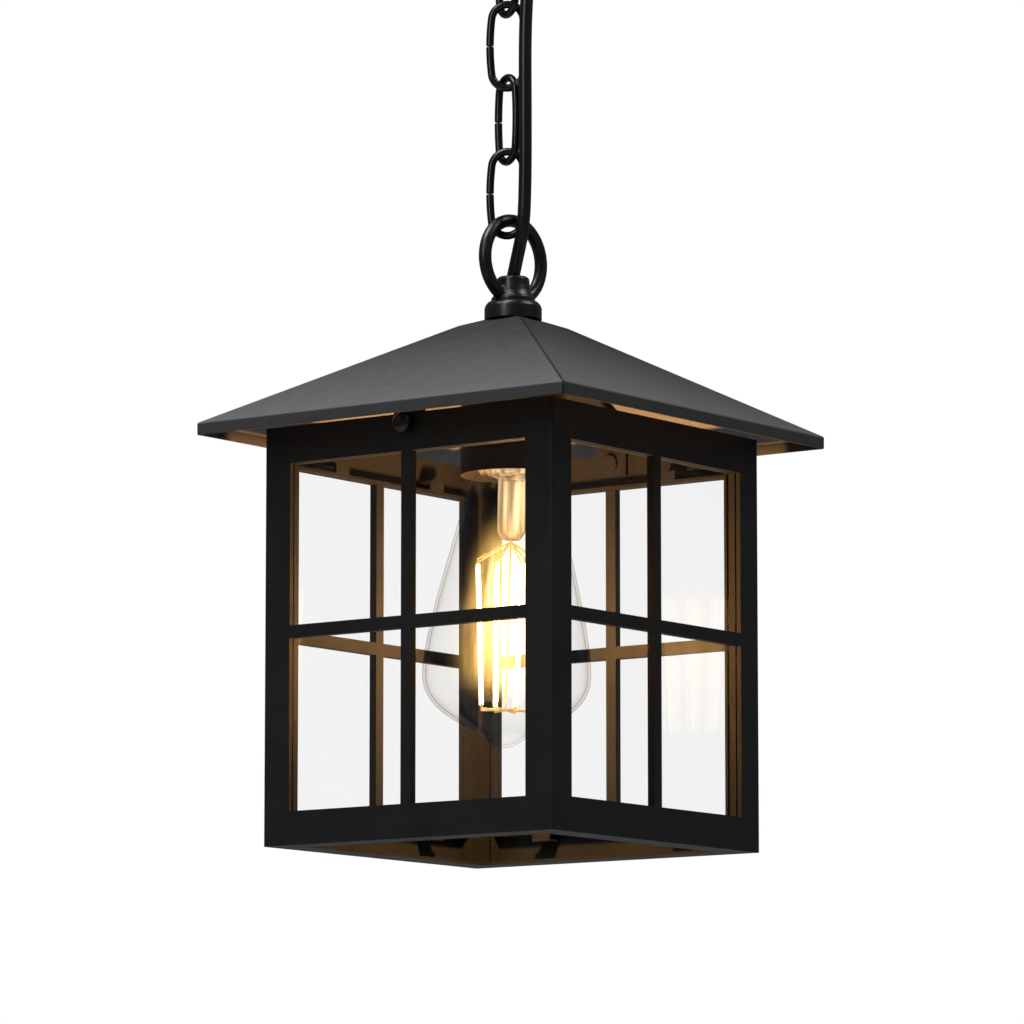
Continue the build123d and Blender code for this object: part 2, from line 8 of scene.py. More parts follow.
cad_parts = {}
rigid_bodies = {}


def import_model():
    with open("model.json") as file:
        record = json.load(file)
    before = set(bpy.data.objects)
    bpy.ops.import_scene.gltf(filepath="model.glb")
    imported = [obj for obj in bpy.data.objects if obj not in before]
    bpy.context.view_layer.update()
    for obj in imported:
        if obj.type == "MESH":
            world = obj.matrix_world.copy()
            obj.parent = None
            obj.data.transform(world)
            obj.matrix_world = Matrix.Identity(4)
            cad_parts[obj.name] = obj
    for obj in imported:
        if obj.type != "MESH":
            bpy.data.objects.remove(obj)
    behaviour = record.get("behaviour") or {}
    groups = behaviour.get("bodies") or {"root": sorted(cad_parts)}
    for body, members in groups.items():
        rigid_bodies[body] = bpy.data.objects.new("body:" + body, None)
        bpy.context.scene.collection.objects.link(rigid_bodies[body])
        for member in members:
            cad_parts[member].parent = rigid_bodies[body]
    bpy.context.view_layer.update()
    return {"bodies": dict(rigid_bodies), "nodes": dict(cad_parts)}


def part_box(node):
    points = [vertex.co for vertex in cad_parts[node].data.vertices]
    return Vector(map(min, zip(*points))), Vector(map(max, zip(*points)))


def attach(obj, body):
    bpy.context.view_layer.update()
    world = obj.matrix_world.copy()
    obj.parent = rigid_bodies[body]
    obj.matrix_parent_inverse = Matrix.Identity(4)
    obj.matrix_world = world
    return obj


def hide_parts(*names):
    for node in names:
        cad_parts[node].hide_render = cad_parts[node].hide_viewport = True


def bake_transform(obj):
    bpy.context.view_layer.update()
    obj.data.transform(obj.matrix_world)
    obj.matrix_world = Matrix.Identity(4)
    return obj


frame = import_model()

# A square hanging lantern in black steel: glazed frame, hipped roof, a lit pear lamp, a cast
# loop, open chain links with a cord beside them, and a ceiling canopy. Metres, +Z up. Places
# come from the frame; lengths below are in millimetres and turned into metres by MM.
MM = 0.001
nodes = frame["nodes"]


# ---------------------------------------------------------------- places read from the frame
def low(node):
    """Lowest corner of a CAD node."""
    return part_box(node)[0]


def high(node):
    """Highest corner of a CAD node."""
    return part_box(node)[1]


def middle(node):
    """Middle of a CAD node's box."""
    return (low(node) + high(node)) / 2


RIM = low("post_front_left").z  # the open bottom edge of the lantern


def above_rim(height):
    """A height in millimetres above the bottom rim, as Z in metres."""
    return RIM + height * MM


# ---------------------------------------------------------------- camera
CAMERA_AZIMUTH = radians(36.405)  # round from the front face towards the right one
CAMERA_PITCH = radians(7.839)  # looking up
CAMERA_REACH = 2.2050  # level distance from the lantern's axis, in metres
CAMERA_BELOW = 0.17492  # under the bottom rim, in metres
CAMERA_SHIFT = -0.0011  # sideways, as a share of the picture's width
CAMERA_FAR = 50.0  # metres
LENS = 205.79
SENSOR = 36.0


def make_camera():
    data = bpy.data.cameras.new("camera")
    data.lens = LENS
    data.sensor_width = SENSOR
    data.clip_end = CAMERA_FAR
    data.shift_x = CAMERA_SHIFT
    camera = bpy.data.objects.new("camera", data)
    across, ahead = sin(CAMERA_AZIMUTH), cos(CAMERA_AZIMUTH)
    camera.location = (CAMERA_REACH * across, -CAMERA_REACH * ahead, RIM - CAMERA_BELOW)
    camera.rotation_euler = (pi / 2 + CAMERA_PITCH, 0, CAMERA_AZIMUTH)
    bpy.context.scene.collection.objects.link(camera)
    bpy.context.scene.camera = camera


# ---------------------------------------------------------------- mesh helpers
FOLD_ANGLE = radians(25)  # a sharper turn between faces is an edge to round off
END_ANGLE = radians(50)  # a sharper turn is a cut end


def keep(bm, name):
    """Turn a bmesh into a smooth-shaded object of the scene."""
    bmesh.ops.recalc_face_normals(bm, faces=bm.faces)
    mesh = bpy.data.meshes.new(name)
    bm.to_mesh(mesh)
    bm.free()
    mesh.polygons.foreach_set("use_smooth", [True] * len(mesh.polygons))
    piece = bpy.data.objects.new(name, mesh)
    bpy.context.scene.collection.objects.link(piece)
    return piece


def place(piece, body, material, slot, *replaced):
    """Finish a piece: its body, its material and the CAD nodes it stands for. slot is not used."""
    piece.data.materials.clear()
    piece.data.materials.append(material)
    if body:
        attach(piece, body)
    if replaced:
        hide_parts(*replaced)
    return piece


def ring_of(bm, centre, across, up, radius, sides):
    """A circle of new vertices about centre, in the plane of the two unit directions."""
    turn = 2 * pi / sides
    return [
        bm.verts.new(centre + radius * (cos(turn * k) * across + sin(turn * k) * up))
        for k in range(sides)
    ]


def skin(bm, rings):
    """Faces between one ring of vertices and the next, with both ends capped."""
    for one, two in zip(rings, rings[1:]):
        for k in range(len(one)):
            after = (k + 1) % len(one)
            bm.faces.new((one[k], one[after], two[after], two[k]))
    bm.faces.new(rings[0])
    bm.faces.new(rings[-1])


def swept(name, path, radius, sides):
    """A round bar along a path, its section turned as little as possible from point to point."""
    bm = bmesh.new()
    tangents = [(b - a).normalized() for a, b in zip(path[:1] + path[:-1], path[1:] + path[-1:])]
    tangents[0] = (path[1] - path[0]).normalized()
    across = tangents[0].orthogonal().normalized()
    rings = []
    for centre, tangent in zip(path, tangents):
        across = (across - across.dot(tangent) * tangent).normalized()
        rings.append(ring_of(bm, centre, across, tangent.cross(across), radius, sides))
    skin(bm, rings)
    piece = keep(bm, name)
    piece.data.set_sharp_from_angle(angle=END_ANGLE)
    return piece


def lathe(name, profile, sides):
    """Revolve a closed outline of (radius, Z) points about the lantern's axis."""
    bm = bmesh.new()
    columns = []
    for k in range(sides):
        angle = 2 * pi * k / sides
        columns.append([bm.verts.new((r * cos(angle), r * sin(angle), z)) for r, z in profile])
    count = len(profile)
    for k in range(sides):
        one, two = columns[k], columns[(k + 1) % sides]
        for j in range(count):
            after = (j + 1) % count
            bm.faces.new((one[j], two[j], two[after], one[after]))
    bmesh.ops.remove_doubles(bm, verts=bm.verts, dist=1e-7)
    bmesh.ops.dissolve_degenerate(bm, edges=bm.edges, dist=1e-7)
    return keep(bm, name)


def cleaned(mesh, name):
    """A copy of a mesh in a new object, its vertices merged and its flat areas made whole."""
    bm = bmesh.new()
    bm.from_mesh(mesh)
    bmesh.ops.remove_doubles(bm, verts=bm.verts, dist=2e-6)
    bmesh.ops.dissolve_limit(bm, angle_limit=radians(0.5), verts=bm.verts, edges=bm.edges)
    return keep(bm, name)


def evaluated(piece):
    """The mesh of an object with its modifiers applied."""
    return bpy.data.meshes.new_from_object(piece.evaluated_get(bpy.context.evaluated_depsgraph_get()))


def bevelled(piece, width, segments, angle):
    """Bevel the edges that turn by more than angle, by width millimetres."""
    bevel = piece.modifiers.new("edges", "BEVEL")
    bevel.width = width * MM
    bevel.segments = segments
    bevel.limit_method = "ANGLE"
    bevel.angle_limit = angle
    return bevel


def round_edges(piece, width, segments=2):
    """Round off the edges of a folded or cast piece by width millimetres."""
    bevelled(piece, width, segments, FOLD_ANGLE).miter_outer = "MITER_ARC"
    return shaded_flat(piece)


def shaded_flat(piece):
    """Keep large faces flat in the shading, up to the small ones that round their edges."""
    flat = piece.modifiers.new("flat", "WEIGHTED_NORMAL")
    flat.mode = "FACE_AREA"
    flat.weight = 100
    flat.thresh = 0.1
    return piece


def eased(node, width, segments=2):
    """A copy of a CAD node with its edges rounded off by width millimetres."""
    return round_edges(cleaned(nodes[node].data, f"eased_{node}"), width, segments)


def combined(first, others, operation, name):
    """One mesh from an exact boolean of the first object with all the others, which are used up."""
    group = bpy.data.collections.new("operands")
    for other in others:
        group.objects.link(other)
    boolean = first.modifiers.new("boolean", "BOOLEAN")
    boolean.operation = operation
    boolean.solver = "EXACT"
    boolean.operand_type = "COLLECTION"
    boolean.collection = group
    piece = cleaned(evaluated(first), name)
    for used in (first, *others):
        bpy.data.objects.remove(used)
    bpy.data.collections.remove(group)
    return piece


def fused(names, name):
    """Several touching CAD nodes as one seamless mesh, as welding and paint leave them."""
    first, *others = (cleaned(nodes[node].data, f"part_{node}") for node in names)
    return combined(first, others, "UNION", name)


CAST_VOXEL = 0.32  # millimetres
CAST_ROUNDS = 6  # of smoothing, which fill the inner corners


def cast(node):
    """A copy of a cast node, remeshed and relaxed so that its inner corners fill like a casting."""
    piece = cleaned(nodes[node].data, f"cast_{node}")
    remesh = piece.modifiers.new("remesh", "REMESH")
    remesh.mode = "VOXEL"
    remesh.voxel_size = CAST_VOXEL * MM
    remesh.use_smooth_shade = True
    relax = piece.modifiers.new("relax", "LAPLACIANSMOOTH")
    relax.lambda_factor = 0.4
    relax.lambda_border = 0.0
    relax.iterations = CAST_ROUNDS
    relax.use_volume_preserve = True
    return piece


def bezier(points, steps):
    """Points along one cubic curve, without its last one."""
    (r0, z0), (r1, z1), (r2, z2), (r3, z3) = points
    line = []
    for k in range(steps):
        t = k / steps
        u = 1 - t
        weights = (u**3, 3 * u * u * t, 3 * u * t * t, t**3)
        r = sum(w * value for w, value in zip(weights, (r0, r1, r2, r3)))
        z = sum(w * value for w, value in zip(weights, (z0, z1, z2, z3)))
        line.append((r, z))
    return line


# ---------------------------------------------------------------- material helpers
def add(material, kind, **values):
    """A new shader node with some of its properties or inputs set."""
    node = material.node_tree.nodes.new(kind)
    for key, value in values.items():
        if hasattr(node, key):
            setattr(node, key, value)
        else:
            node.inputs[key].default_value = value
    return node


def feed(material, socket, term):
    """Link an output to an input socket, or set the socket to a plain value."""
    if isinstance(term, bpy.types.NodeSocket):
        material.node_tree.links.new(term, socket)
    else:
        socket.default_value = term


def maths(material, operation, *terms):
    """The result of a math node on outputs and plain numbers."""
    node = add(material, "ShaderNodeMath", operation=operation)
    for socket, term in zip(node.inputs, terms):
        feed(material, socket, term)
    return node.outputs["Value"]


def mapped(material, value, start, end, lowest=0.0):
    """A value that goes from lowest to 1 as another goes from start to end."""
    node = add(material, "ShaderNodeMapRange")
    feed(material, node.inputs["Value"], value)
    feed(material, node.inputs["From Min"], start)
    feed(material, node.inputs["From Max"], end)
    feed(material, node.inputs["To Min"], lowest)
    return node.outputs["Result"]


def point_of(material):
    """The shaded point, in the piece's own axes."""
    return add(material, "ShaderNodeTexCoord").outputs["Object"]


def axes_of(material):
    """The X, Y and Z of the shaded point."""
    split = add(material, "ShaderNodeSeparateXYZ")
    feed(material, split.inputs["Vector"], point_of(material))
    return split.outputs


def mottle(material, size, detail, stretch=(1, 1, 1)):
    """Noise in patches of about size millimetres across."""
    mapping = add(material, "ShaderNodeMapping", Scale=stretch)
    noise = add(material, "ShaderNodeTexNoise", Scale=1 / (size * MM), Detail=detail)
    feed(material, mapping.inputs["Vector"], point_of(material))
    feed(material, noise.inputs["Vector"], mapping.outputs["Vector"])
    return noise.outputs["Fac"]


def plain(name, colour, roughness, metallic=0.0, **sockets):
    """A Principled material; sockets name further inputs, such as Coat_Weight."""
    material = bpy.data.materials.new(name)
    material.use_nodes = True
    shader = shader_of(material)
    shader.inputs["Base Color"].default_value = (*colour, 1)
    shader.inputs["Roughness"].default_value = roughness
    shader.inputs["Metallic"].default_value = metallic
    for key, value in sockets.items():
        shader.inputs[key.replace("_", " ")].default_value = value
    return material


def shader_of(material):
    return material.node_tree.nodes["Principled BSDF"]


def surface_of(material):
    return material.node_tree.nodes["Material Output"].inputs["Surface"]


def grain(material, size, height):
    """Fine bumps of about size millimetres across and height millimetres deep."""
    bump = add(material, "ShaderNodeBump", Distance=height * MM, Strength=1.0)
    feed(material, bump.inputs["Height"], mottle(material, size, 3.0))
    feed(material, shader_of(material).inputs["Normal"], bump.outputs["Normal"])


def vary(material, socket, size, low_value, high_value, stretch=(1, 1, 1)):
    """Let a Principled input drift between two values in patches of about size millimetres."""
    ramp = add(material, "ShaderNodeValToRGB")
    for element, position, value in zip(
        ramp.color_ramp.elements, (0.35, 0.65), (low_value, high_value)
    ):
        element.position = position
        element.color = (*value, 1) if isinstance(value, tuple) else (value, value, value, 1)
    feed(material, ramp.inputs["Fac"], mottle(material, size, 4.0, stretch))
    feed(material, shader_of(material).inputs[socket], ramp.outputs["Color"])


# ---------------------------------------------------------------- glass, and the painted glow in it
FACE_ON_MIRROR = 0.014  # share of light that glass mirrors when it is seen face on
FRESNEL_POWER = 5.0  # how late the mirroring grows towards an edge
STREAK_STRETCH = 0.06  # how much slower a streak of the painted glow changes upright than across
STREAK_FLOOR = 0.25  # share of the painted glow that is left between the streaks
GLOW_PEAK = 0.55  # share of the way up at which the painted glow is strongest


def edge_on(material):
    """0 where a surface is seen face on, rising to 1 where it is seen edge on."""
    return add(material, "ShaderNodeLayerWeight", Blend=0.5).outputs["Facing"]


def blended(material, share, one, other):
    """A colour that goes from one to the other as share goes from 0 to 1."""
    mix = add(material, "ShaderNodeMix", data_type="RGBA")
    sockets = [socket for socket in mix.inputs if socket.enabled]
    for socket, term in zip(sockets, (share, (*one, 1), (*other, 1))):
        feed(material, socket, term)
    return next(socket for socket in mix.outputs if socket.enabled)


def thin_glass(name, tint, gloss_roughness, edge_tint, edge_power, edge_mirror):
    """Clear thin glass: straight through, mirrored by Fresnel, and tinted where it is seen edge on.

    A higher edge_power keeps the edge tint to a thinner outline. edge_mirror is the share of
    light mirrored there.
    """
    material = bpy.data.materials.new(name)
    material.use_nodes = True
    material.node_tree.nodes.remove(shader_of(material))
    edge = edge_on(material)
    outline = maths(material, "POWER", edge, edge_power)
    through = add(material, "ShaderNodeBsdfTransparent")
    feed(material, through.inputs["Color"], blended(material, outline, tint, edge_tint))
    mirror = add(material, "ShaderNodeBsdfGlossy", Roughness=gloss_roughness)
    steep = maths(material, "POWER", edge, FRESNEL_POWER)
    gain = edge_mirror - FACE_ON_MIRROR
    mix = add(material, "ShaderNodeMixShader")
    feed(material, mix.inputs["Fac"], maths(material, "MULTIPLY_ADD", steep, gain, FACE_ON_MIRROR))
    feed(material, mix.inputs[1], through.outputs["BSDF"])
    feed(material, mix.inputs[2], mirror.outputs["BSDF"])
    feed(material, surface_of(material), mix.outputs["Shader"])
    return material


def swelling(material, low_height, high_height):
    """A level that swells from 0 to 1 and back again between two heights."""
    swell = add(material, "ShaderNodeValToRGB")
    ramp = swell.color_ramp
    ramp.interpolation = "EASE"
    for element in ramp.elements:
        element.color = (0, 0, 0, 1)
    ramp.elements.new(GLOW_PEAK).color = (1, 1, 1, 1)
    height = axes_of(material)["Z"]
    level = mapped(material, height, above_rim(low_height), above_rim(high_height))
    feed(material, swell.inputs["Fac"], level)
    return swell.outputs["Color"]


def painted_glow(material, colour, strength, low_height, high_height, narrowness, streak):
    """Add a painted glow to the lamp's glass, emission for the lamp's glare in it, strongest face on
    and between two heights.

    narrowness draws it in to the middle of the glass. streak is the width in millimetres of the
    upright streaks in it.
    """
    surface = surface_of(material)
    clear = surface.links[0].from_socket
    inner = maths(material, "POWER", maths(material, "SUBTRACT", 1.0, edge_on(material)), narrowness)
    share = maths(material, "MULTIPLY", inner, swelling(material, low_height, high_height))
    noise = mottle(material, streak, 2.0, (1, 1, STREAK_STRETCH))
    streaked = maths(material, "MULTIPLY", share, mapped(material, noise, 0.4, 0.6, STREAK_FLOOR))
    glow = add(material, "ShaderNodeEmission", Color=(*colour, 1))
    feed(material, glow.inputs["Strength"], maths(material, "MULTIPLY", streaked, strength))
    both = add(material, "ShaderNodeAddShader")
    feed(material, both.inputs[0], clear)
    feed(material, both.inputs[1], glow.outputs["Emission"])
    feed(material, surface, both.outputs["Shader"])
    return material


# ---------------------------------------------------------------- materials
def black_sheet():
    """Satin powder coat on the frame: near black, with a very fine orange peel."""
    material = plain("black_sheet", (0.009, 0.009, 0.009), 0.42, Specular_IOR_Level=0.3)
    vary(material, "Roughness", 9.0, 0.38, 0.5)
    vary(material, "Base Color", 30.0, (0.008, 0.008, 0.008), (0.0105, 0.0105, 0.0105))
    grain(material, 0.55, 0.012)
    return material


FASCIA = 4.7  # height of the roof's upright edge, in millimetres
EASED = 0.6  # how far the roof's edges are rounded
WAVER_SIZE = 25.0  # millimetres across a patch where the painted light on the roof wavers


def rise(material, low_height, high_height, low_colour, high_colour, waver):
    """Paint light into the base colour by height, its levels wavering by waver millimetres."""
    patches = mottle(material, WAVER_SIZE, 3.0)
    height = maths(material, "MULTIPLY_ADD", patches, waver * MM, axes_of(material)["Z"])
    level = mapped(material, height, above_rim(low_height), above_rim(high_height))
    ramp = add(material, "ShaderNodeValToRGB")
    for element, colour in zip(ramp.color_ramp.elements, (low_colour, high_colour)):
        element.color = (*colour, 1)
    feed(material, ramp.inputs["Fac"], level)
    feed(material, shader_of(material).inputs["Base Color"], ramp.outputs["Color"])


FASCIA_PAINTED_SHADE = 0.38  # painted shade: share of the slope's tone left on the upright fascia
SEAM_PAINTED_SHADE = 0.12  # painted shade: share of the slope's tone left in the grooves along the hips
SEAM_HALF = 0.45  # half width of that painted dark line, in millimetres


def paint_fold_shade(material):
    """Paint shade into the base colour on the upright fascia and in the grooves along the hips."""
    x, y, z = axes_of(material)
    apart = maths(material, "SUBTRACT", maths(material, "ABSOLUTE", x), maths(material, "ABSOLUTE", y))
    from_hip = maths(material, "ABSOLUTE", apart)
    seam = mapped(material, from_hip, SEAM_HALF * MM, 2 * SEAM_HALF * MM, SEAM_PAINTED_SHADE)
    on_slope = maths(material, "GREATER_THAN", z, fascia_top())
    fascia = mapped(material, on_slope, 0.0, 1.0, FASCIA_PAINTED_SHADE)
    base = shader_of(material).inputs["Base Color"]
    tone = add(material, "ShaderNodeVectorMath", operation="SCALE")
    feed(material, tone.inputs[0], base.links[0].from_socket)
    feed(material, tone.inputs["Scale"], maths(material, "MULTIPLY", seam, fascia))
    feed(material, base, tone.outputs["Vector"])


def fascia_top():
    """Z of the fold between the fascia and the slopes, just below the rounded edge."""
    return low("roof_shell").z + (FASCIA - EASED) * MM


def black_roof():
    """Finely textured matte coat on the roof, greyer than the walls, with painted light that makes it
    lightest at the eaves and darkest at the crown.
    """
    eave, crown = (0.1, 0.1, 0.106), (0.022, 0.022, 0.023)
    material = plain("black_roof", eave, 0.5, Specular_IOR_Level=0.4)
    vary(material, "Roughness", 6.0, 0.46, 0.58)
    # painted light: the base colour runs from light at the eaves to dark at the crown, for how the
    # studio light falls along the slopes
    rise(material, 160.0, 200.0, eave, crown, 6.0)
    # painted shade on the upright fascia and in the grooves along the hips
    paint_fold_shade(material)
    grain(material, 0.45, 0.03)
    return material


def black_cast():
    """Enamel over a slightly rough casting."""
    material = plain("black_cast", (0.004, 0.004, 0.0042), 0.3, Specular_IOR_Level=0.5)
    vary(material, "Roughness", 3.0, 0.26, 0.38)
    grain(material, 1.8, 0.02)
    return material


def chain_enamel():
    """Gloss black dip on the chain's wire."""
    material = plain("chain_steel", (0.004, 0.004, 0.0042), 0.22, Specular_IOR_Level=0.5)
    vary(material, "Roughness", 4.0, 0.16, 0.28)
    grain(material, 1.5, 0.006)
    return material


def cord_jacket():
    """Smooth flexible sleeve of the lamp cord."""
    material = plain("cord_jacket", (0.004, 0.004, 0.0044), 0.3, Specular_IOR_Level=0.5)
    vary(material, "Roughness", 7.0, 0.24, 0.36, stretch=(1, 1, 0.2))
    grain(material, 0.5, 0.006)
    return material


def bushing_rubber():
    material = plain("bushing", (0.012, 0.012, 0.012), 0.6)
    grain(material, 0.6, 0.01)
    return material


def zinc():
    """Zinc-plated hardware, with soft spangle."""
    material = plain("zinc_steel", (0.42, 0.42, 0.43), 0.38, metallic=1.0)
    vary(material, "Roughness", 2.0, 0.3, 0.48)
    vary(material, "Base Color", 3.5, (0.36, 0.36, 0.37), (0.48, 0.48, 0.49))
    grain(material, 0.6, 0.006)
    return material


def brass(name):
    material = plain(name, (0.78, 0.55, 0.24), 0.25, metallic=1.0)
    vary(material, "Roughness", 2.5, 0.18, 0.36)
    return material


def porcelain():
    """White glazed body of the lamp holder."""
    material = plain("holder_body", (0.78, 0.76, 0.7), 0.3, Coat_Weight=0.4)
    vary(material, "Base Color", 6.0, (0.74, 0.72, 0.66), (0.8, 0.78, 0.73))
    return material


def tin():
    material = plain("contact", (0.6, 0.59, 0.56), 0.35, metallic=1.0)
    vary(material, "Roughness", 1.5, 0.28, 0.45)
    return material


def black_glass():
    material = plain("insulator", (0.01, 0.01, 0.012), 0.12)
    vary(material, "Roughness", 2.0, 0.1, 0.2)
    return material


def alight(material, colour, strength):
    """Let a Principled material glow."""
    shader = shader_of(material)
    shader.inputs["Emission Color"].default_value = (*colour, 1)
    shader.inputs["Emission Strength"].default_value = strength


def drawn_wire():
    material = plain("lamp_wire", (0.9, 0.66, 0.34), 0.3, metallic=1.0)
    # painted glow: the support wire glows faintly, for the filaments' light on it
    alight(material, (1.0, 0.6, 0.2), 0.35)
    vary(material, "Roughness", 1.0, 0.22, 0.4)
    return material


def lit_filament():
    """Phosphor stick, alight."""
    material = plain("filament", (1.0, 0.82, 0.5), 0.6)
    alight(material, (1.0, 0.66, 0.26), 4.5)
    return material


# ---------------------------------------------------------------- frame and roof
FACES = ("front", "right", "back", "left")
CORNERS = ("front_left", "front_right", "back_right", "back_left")
WINDOW_HALF = high("bottom_rail_front").x
WINDOW_LOW = high("bottom_rail_front").z
WINDOW_HIGH = low("top_rail_front").z
GROOVE = (1.9, 2.5)  # from the outer face to the groove's two sides, in millimetres
GROOVE_DEPTH = 0.5
GROOVE_START = -0.02  # the cutter begins this far inside the opening
FRAME_ROUND = 0.35  # rounding of the folded steel's edges


def groove_cutter(turn):
    """A rectangular ring that cuts a groove all round one window's folded edge."""
    front = low("top_rail_front").y
    near, far = (front + depth * MM for depth in GROOVE)
    bm = bmesh.new()
    loops = []
    for grow in (GROOVE_DEPTH * MM, GROOVE_START * MM):
        x, bottom, top = WINDOW_HALF + grow, WINDOW_LOW - grow, WINDOW_HIGH + grow
        corners = [(-x, bottom), (x, bottom), (x, top), (-x, top)]
        loops.append([bm.verts.new((cx, y, cz)) for y in (near, far) for cx, cz in corners])
    outer, inner = loops
    for k in range(4):
        after = (k + 1) % 4
        bm.faces.new((outer[k], outer[after], outer[after + 4], outer[k + 4]))
        bm.faces.new((inner[k], inner[k + 4], inner[after + 4], inner[after]))
        bm.faces.new((outer[k], inner[k], inner[after], outer[after]))
        bm.faces.new((outer[k + 4], outer[after + 4], inner[after + 4], inner[k + 4]))
    bmesh.ops.rotate(bm, verts=bm.verts, matrix=Matrix.Rotation(turn, 3, "Z"))
    return keep(bm, "groove_cutter")


def make_frame(sheet, glass):
    """Posts, rails and glazing bars under one coat of paint, and the panes behind them."""
    steel = [f"post_{corner}" for corner in CORNERS]
    for part in ("bottom_rail", "top_rail", "glazing_bars"):
        steel += [f"{part}_{face}" for face in FACES]
    plain_steel = fused(steel, "plain_steel")
    cutters = [groove_cutter(k * pi / 2) for k in range(4)]
    frame_steel = combined(plain_steel, cutters, "DIFFERENCE", "frame_steel")
    place(round_edges(frame_steel, FRAME_ROUND), "frame", sheet, "black_sheet", *steel)
    for face in FACES:
        dress(f"glass_{face}", glass)
    dress("glass_clips", sheet)


def dress(node, material):
    """Give a CAD node a better material."""
    nodes[node].data.materials.clear()
    nodes[node].data.materials.append(material)


SEAM = 0.4  # radius of the groove where two roof sheets meet, in millimetres
STRAP_ROUND = 0.3
COLLAR_ROUND = 0.4
CLOSE = 0.01 * MM  # two places nearer than this are one


def hip_line():
    """Points up one corner of the roof: foot of the fascia, eave, break and crown."""
    corners = [vertex.co for vertex in nodes["roof_shell"].data.vertices]
    on_hip = [p for p in corners if p.x > 0 and abs(p.x - p.y) < CLOSE]
    outermost = max(p.x for p in on_hip)
    corner = sorted((p for p in on_hip if p.x > outermost - CLOSE), key=lambda p: p.z)
    crown = max(on_hip, key=lambda p: p.z)
    break_x = min(p.x for p in on_hip if p.x > crown.x + MM)
    broken = max((p for p in on_hip if abs(p.x - break_x) < CLOSE), key=lambda p: p.z)
    foot = corner[0] - Vector((0, 0, MM))
    return [foot, corner[-1], broken, crown]


def make_roof(coat, sheet, metal, iron):
    hip = hip_line()
    seams = []
    for k in range(4):
        turn = Matrix.Rotation(k * pi / 2, 3, "Z")
        seams.append(swept("seam_cutter", [turn @ point for point in hip], SEAM * MM, 16))
    shell = combined(eased("roof_shell", EASED, 3), seams, "DIFFERENCE", "roof")
    place(shaded_flat(shell), "lantern", coat, "black_roof", "roof_shell")
    place(eased("roof_strap", STRAP_ROUND), "lantern", sheet, "black_sheet", "roof_strap")
    dress("frame_studs", sheet)
    for node in ("strap_lock_nut", "strap_washer", "threaded_pipe"):
        dress(node, metal)
    dress("cap_nut_front", iron)
    dress("cap_nut_back", iron)


# ---------------------------------------------------------------- loops, collar and canopy
def make_loops(iron, rubber, sheet, metal):
    for node, body in (("lantern_loop", "lantern"), ("canopy_loop", "canopy")):
        place(cast(node), body, iron, "black_cast", node)
    place(eased("roof_collar", COLLAR_ROUND, 3), "lantern", iron, "black_cast", "roof_collar")
    dress("lantern_bushing", rubber)
    dress("canopy_bushing", rubber)
    dress("canopy", sheet)
    for node in ("canopy_pipe", "canopy_lock_nut", "canopy_crossbar"):
        dress(node, metal)


# ---------------------------------------------------------------- chain
LINK_TURNS = (-24.0, 30.0, -23.0, 27.0)  # plane of each link about Z, in degrees
LINK_WIRE = 3.0
LINK_WIDTH = 16.4
LINK_END_RADIUS = 6.1
BUTT_GAP = 0.4  # between the bent wire's two ends
BUTT_ROUND = 0.3
LINK_STEPS = 14  # path points in an eighth of a link
LINK_SIDES = 28


def oval(half_width, half_length, end_radius, steps):
    """Points (across, up) round a link, from one side of its butt gap to the other."""
    rise = half_length - end_radius
    side = (rise**2 + half_width**2 - end_radius**2) / (2 * (half_width - end_radius))
    lean = atan2(rise, side - half_width)
    centre = half_width - side

    def on_side(sign, start, end, count):
        spread = [start + (end - start) * k / count for k in range(count)]
        return [(sign * (centre + side * cos(a)), side * sin(a)) for a in spread]

    def on_end(sign, start, end, count):
        spread = [start + (end - start) * k / count for k in range(count)]
        return [(end_radius * cos(a), sign * rise + end_radius * sin(a)) for a in spread]

    gap = BUTT_GAP * MM / 2 / side
    points = on_side(-1, gap, lean, steps)
    points += on_end(1, pi - lean, lean, 2 * steps)
    points += on_side(1, lean, -lean, 2 * steps)
    points += on_end(-1, -lean, lean - pi, 2 * steps)
    points += on_side(-1, -lean, -gap, steps)
    return points + [(-(centre + side * cos(gap)), -side * sin(gap))]


def make_link(number, turn, enamel):
    """One open link: round wire bent to an oval, its two cut ends slightly rounded."""
    node = f"link_{number}"
    centre = middle(node)
    half_length = (high(node).z - low(node).z) / 2 - LINK_WIRE * MM / 2
    half_width = (LINK_WIDTH - LINK_WIRE) / 2 * MM
    across = Vector((cos(radians(turn)), sin(radians(turn)), 0))
    outline = oval(half_width, half_length, LINK_END_RADIUS * MM, LINK_STEPS)
    path = [centre + across * x + Vector((0, 0, z)) for x, z in outline]
    piece = swept(f"wire_{node}", path, LINK_WIRE * MM / 2, LINK_SIDES)
    bevelled(piece, BUTT_ROUND, 2, END_ANGLE)
    place(piece, node, enamel, "chain_steel", node)


# ---------------------------------------------------------------- lamp cord
CORD_WIDTH = 5.0
CORD_SIDES = 24
# (x, y, height above the rim) in millimetres: out of the lantern's hub, through its ring,
# beside the chain and into the canopy's hub
CORD_ROUTE = [
    (0.0, 0.0, 219.4),
    (2.8, -1.3, 226.0),
    (8.3, -4.5, 237.2),
    (9.6, -5.2, 255.0),
    (10.4, -6.2, 281.0),
    (10.4, -6.5, 310.0),
    (10.2, -4.6, 332.0),
    (8.8, -1.8, 347.5),
    (2.2, -0.1, 362.5),
    (0.0, 0.0, 370.8),
]


